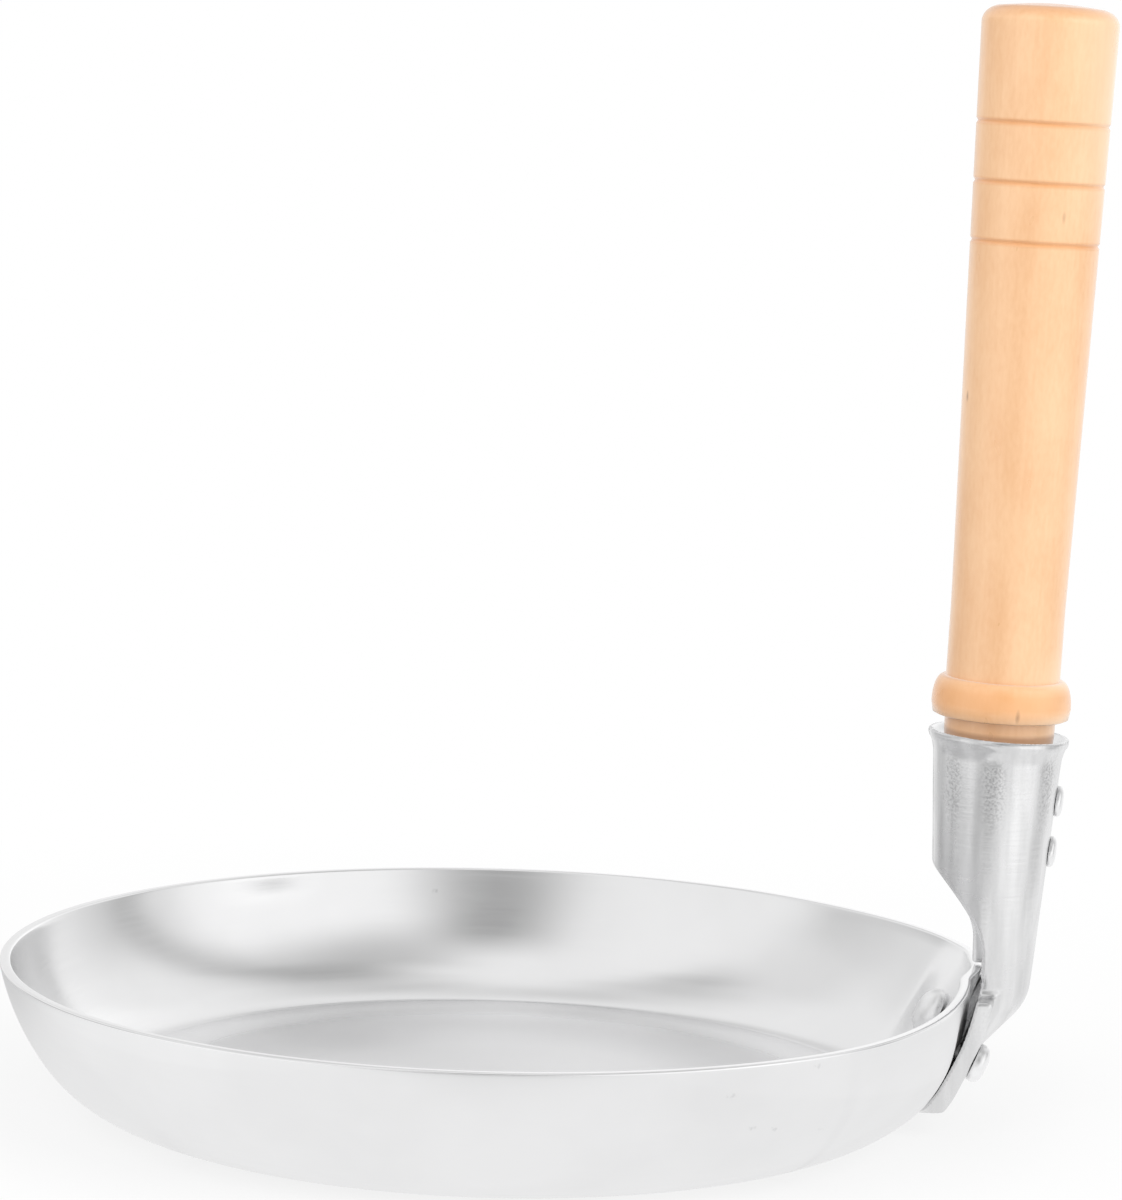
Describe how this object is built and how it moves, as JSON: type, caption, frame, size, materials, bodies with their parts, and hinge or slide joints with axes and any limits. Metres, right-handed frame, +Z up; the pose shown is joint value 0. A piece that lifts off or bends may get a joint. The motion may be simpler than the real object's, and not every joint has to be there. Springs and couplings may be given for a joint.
{
  "type": "egg pan",
  "caption": "Shallow round aluminium egg pan with a flat base, curved wall and an upright turned wooden handle held in a riveted socket bracket.",
  "frame": {"origin": "centre of the flat base, on the surface the pan rests on", "axes": "+Z up along the dish axis, +X toward the handle, +Y completes a right-handed frame"},
  "size_m": [0.1797, 0.165, 0.1855],
  "materials": {
    "bowl_aluminium": "bright, lightly polished",
    "bracket_aluminium": "satin, pressed",
    "rivet_aluminium": "satin",
    "handle_wood": "clear lacquer"
  },
  "bodies": {
    "root": {"pan_bowl": "bowl_aluminium", "handle_bracket": "bracket_aluminium", "pan_rivet_near": "rivet_aluminium", "pan_rivet_far": "rivet_aluminium", "wooden_handle": "handle_wood", "handle_nail_upper": "rivet_aluminium", "handle_nail_lower": "rivet_aluminium"}
  },
  "joints": []
}
